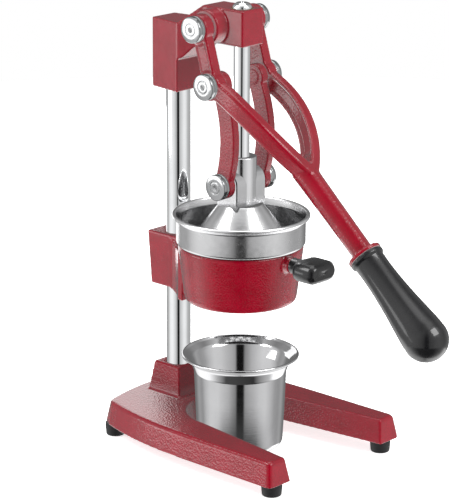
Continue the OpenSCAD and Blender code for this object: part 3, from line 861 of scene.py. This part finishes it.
# The fluted reamer
cone_lo, cone_hi = box_mm("strainer_cone")
FLUTES = 12
reamer_h = cone_hi.z - cone_lo.z
reamer_r = 33.0
reamer_profile = [(0.0, 0.0)] + [(reamer_r, 0.0), (reamer_r, 2.0)]
for k in range(1, 25):
    t = k / 24
    reamer_profile.append((reamer_r * (1 - t) ** 0.85 + 3.0 * t * (1 - t),
        2.0 + (reamer_h - 2.0) * t))
reamer_profile[-1] = (0.0, reamer_h)


def flute(i, a):
    """Sharp ridges with hollow flutes between them, fading in above the foot."""
    if i < 2:
        return 1.0
    ridge = abs(math.cos(a * FLUTES / 2))
    return 1.0 - 0.20 * min(1.0, (i - 1) / 5) * (1.0 - ridge**1.6)


bm = bmesh.new()
lathe(bm, reamer_profile, Matrix.Translation((0, 0, cone_lo.z)), 144, flute)
finish_piece("reamer", bm, BOWL_STEEL, ["strainer_cone"], 50.0)

mug_hi = box_mm("juice_cup")[1]
lip_r, mug_h = mug_hi.x, mug_hi.z
LIP = 1.2
FOOT_INSET, BODY_R = 38.5, 41.6
mug_foot = rounded(
    [
        (0, 1.2), (20, 1.0), (24, 0.0, 1.0), (FOOT_INSET, 0.0, 10.0), (BODY_R, 71.0, 6.0),
        (lip_r - 8.0, 80.0, 7.0), (lip_r - 2.2, mug_h - 2.6, 3.0), (lip_r - LIP - 0.2,
            mug_h - 2 * LIP),
    ],
    9,
)
mug_inside = rounded(
    [
        (lip_r - 2 * LIP, mug_h - 0.6), (lip_r - 3.6, mug_h - 1.8, 3.0), (lip_r - 9.4, 80.6, 7.0),
        (BODY_R - SHEET, 71.0, 6.0), (FOOT_INSET - SHEET, SHEET + 1.0, 9.0), (22, 2.2), (0, 2.2),
    ],
    9,
)
turned_piece(
    "mug",
    mug_foot + arc((lip_r - LIP, mug_h - LIP), LIP, -80, 160, 10) + mug_inside,
    CUP_STEEL,
    ["juice_cup"],
    segments=160,
    sharp=40.0,
)

# CAD nodes that keep their own shape ---------------------------------------------------------

FASTENERS = [
    "foot_screws", "column_bolt", "head_set_screws", "head_pivot_shaft", "bracket_set_screws",
    "front_handle_screw", "hub_set_screw", "press_cup_bolt", "grip_stud", "elbow_pins",
    "lower_pin_left", "lower_pin_right",
]
for node, material in [(n, BOLT_STEEL) for n in FASTENERS] + [("guide_bush", BRONZE)]:
    data = NODES[node].data
    data.materials.clear()
    data.materials.append(material)
    NODES[node].visible_glossy = False

# Camera, floor and light ---------------------------------------------------------------------

AZIMUTH, ELEVATION, ROLL = math.radians(-46.994), math.radians(16.353), math.radians(0.215)
DISTANCE = 2.164075
SENSOR = 36.0
LONG_SIDE = 500
FOCAL_PX = 2442.146
target = place((-11.517, 9.109, 183.084))
back = Vector(
    (
        math.sin(AZIMUTH) * math.cos(ELEVATION),
        -math.cos(AZIMUTH) * math.cos(ELEVATION),
        math.sin(ELEVATION),
    )
)
level = Vector((math.cos(AZIMUTH), math.sin(AZIMUTH), 0))
upright = back.cross(level)
right = level * math.cos(ROLL) + upright * math.sin(ROLL)
top = upright * math.cos(ROLL) - level * math.sin(ROLL)
camera_data = bpy.data.cameras.new("camera")
camera_data.sensor_width = SENSOR
camera_data.lens = FOCAL_PX * SENSOR / LONG_SIDE
camera_data.clip_end = 20.0
camera = bpy.data.objects.new("camera", camera_data)
bpy.context.scene.collection.objects.link(camera)
turn = Matrix((right, top, back)).transposed()
camera.matrix_world = Matrix.Translation(target + back * DISTANCE) @ turn.to_4x4()
bpy.context.scene.camera = camera

FLOOR_R = 1.6
bm = bmesh.new()
bmesh.ops.create_circle(bm, cap_ends=True, segments=128, radius=FLOOR_R)
floor_mesh = bpy.data.meshes.new("floor")
bm.to_mesh(floor_mesh)
bm.free()
floor = bpy.data.objects.new("floor", floor_mesh)
floor.location = (0, 0, -0.0002)
floor_shader = Shader("floor")
floor_shader.set(Specular_IOR_Level=0.0, Roughness=0.9)
floor_shader.set(Emission_Color=(1, 1, 1, 1), Emission_Strength=0.75)
floor_shader.colour(floor_shader.noise(8.0), [(0.3, (0.93, 0.93, 0.93)), (0.7, (0.94, 0.94, 0.94))])
floor_mesh.materials.append(floor_shader.material)
bpy.context.scene.collection.objects.link(floor)
floor.visible_glossy = False


def area_light(name, azimuth, elevation, distance, size, power, aim=(0, 0, 0.2)):
    data = bpy.data.lights.new(name, "AREA")
    data.shape = "RECTANGLE"
    data.size, data.size_y = size
    data.energy = power
    light = bpy.data.objects.new(name, data)
    a, e = math.radians(azimuth), math.radians(elevation)
    way = Vector((math.sin(a) * math.cos(e), -math.cos(a) * math.cos(e), math.sin(e)))
    aim = Vector(aim)
    light.location = aim + way * distance
    light.rotation_mode = "QUATERNION"
    light.rotation_quaternion = way.to_track_quat("Z", "Y")
    light.visible_camera = False
    bpy.context.scene.collection.objects.link(light)


area_light("key", 12, 42, 2.2, (1.2, 1.2), 30.0)
area_light("top", 133, 68, 2.0, (1.4, 1.4), 6.0)
area_light("left", -133, -2, 2.2, (1.1, 0.6), 5.0)
area_light("left_high", -125, 45, 2.2, (0.9, 0.9), 14.0)
area_light("near_back", 147, 19, 0.344, (0.22, 0.2), 0.18, place((-60, 90, 36)))

world = bpy.data.worlds.new("studio")
world.use_nodes = True
bpy.context.scene.world = world
tree = world.node_tree
tree.nodes.clear()


def world_node(kind, **values):
    node = tree.nodes.new(kind)
    for key, value in values.items():
        setattr(node, key, value)
    return node


def along(axis):
    """The part of the viewed direction that runs along an axis."""
    node = world_node("ShaderNodeVectorMath", operation="DOT_PRODUCT")
    node.inputs[1].default_value = axis
    tree.links.new(coords.outputs["Generated"], node.inputs[0])
    return node.outputs["Value"]


def map_range(value, low, high):
    node = world_node("ShaderNodeMapRange")
    node.inputs["From Min"].default_value = low
    node.inputs["From Max"].default_value = high
    tree.links.new(value, node.inputs["Value"])
    return node.outputs["Result"]


# How bright the studio's walls are, by degrees round from the camera, positive to its right:
# a dark gap behind the camera, a tall panel on each side, and grey at the back
STUDIO = [
    (-180, 0.15), (-150, 0.25), (-131, 0.52), (-114, 0.45), (-100, 0.75), (-85, 0.95), (-60, 1.0),
    (-44, 0.85), (-30, 0.7), (-20, 0.5), (-12, 0.35), (-8, 0.01), (8, 0.01), (12, 0.5), (20, 0.62),
    (35, 0.75), (50, 0.92), (68, 0.95), (85, 0.75), (100, 0.52), (115, 0.45), (131, 0.52),
        (150, 0.25),
    (180, 0.15),
]
CEILING = [
    (-180, 0.2), (-120, 0.3), (-90, 0.8), (-50, 0.9), (-25, 0.5), (0, 0.35), (25, 0.5), (50, 0.95),
    (90, 1.0), (120, 0.3), (180, 0.2),
]
LOW = [
    (-180, 0.6), (-130, 1.6), (-100, 1.6), (-75, 0.7), (-48, 0.1), (45, 0.05), (65, 0.4), (95, 0.8),
    (112, 2.0), (130, 2.0), (180, 0.6),
]
OVERHEAD = 2.0
coords = world_node("ShaderNodeTexCoord")
bearing = world_node("ShaderNodeMath", operation="ARCTAN2")
tree.links.new(along(level), bearing.inputs[0])
tree.links.new(along((math.sin(AZIMUTH), -math.cos(AZIMUTH), 0)), bearing.inputs[1])


def round_about(stops):
    """Brightness by bearing, from (degrees, value) stops."""
    node = world_node("ShaderNodeValToRGB")
    tree.links.new(map_range(bearing.outputs[0], -math.pi, math.pi), node.inputs["Fac"])
    elements = node.color_ramp.elements
    while len(elements) < len(stops):
        elements.new(0.5)
    for element, (degrees, value) in zip(elements, stops):
        element.position = (degrees + 180) / 360
        element.color = (value, value, value, 1.0)
    return node.outputs["Color"]


def layered(below, above, low, high):
    """One colour below a height of view (the sine of its elevation), another above it."""
    node = world_node("ShaderNodeMixRGB")
    tree.links.new(map_range(along((0, 0, 1)), low, high), node.inputs["Fac"])
    for socket, value in (("Color1", below), ("Color2", above)):
        if isinstance(value, float):
            node.inputs[socket].default_value = (value, value, value, 1.0)
        else:
            tree.links.new(value, node.inputs[socket])
    return node.outputs["Color"]


studio = layered(round_about(LOW), round_about(STUDIO), -0.50, -0.455)
studio = layered(studio, round_about(CEILING), 0.45, 0.75)
studio = layered(studio, OVERHEAD, 0.91, 0.96)
lit = world_node("ShaderNodeBackground")
tree.links.new(studio, lit.inputs["Color"])
white = world_node("ShaderNodeBackground")
white.inputs["Color"].default_value = (1, 1, 1, 1)
path = world_node("ShaderNodeLightPath")
mix = world_node("ShaderNodeMixShader")
tree.links.new(path.outputs["Is Camera Ray"], mix.inputs["Fac"])
tree.links.new(lit.outputs[0], mix.inputs[1])
tree.links.new(white.outputs[0], mix.inputs[2])
output = world_node("ShaderNodeOutputWorld")
tree.links.new(mix.outputs[0], output.inputs["Surface"])
bpy.context.scene.view_settings.view_transform = "Standard"
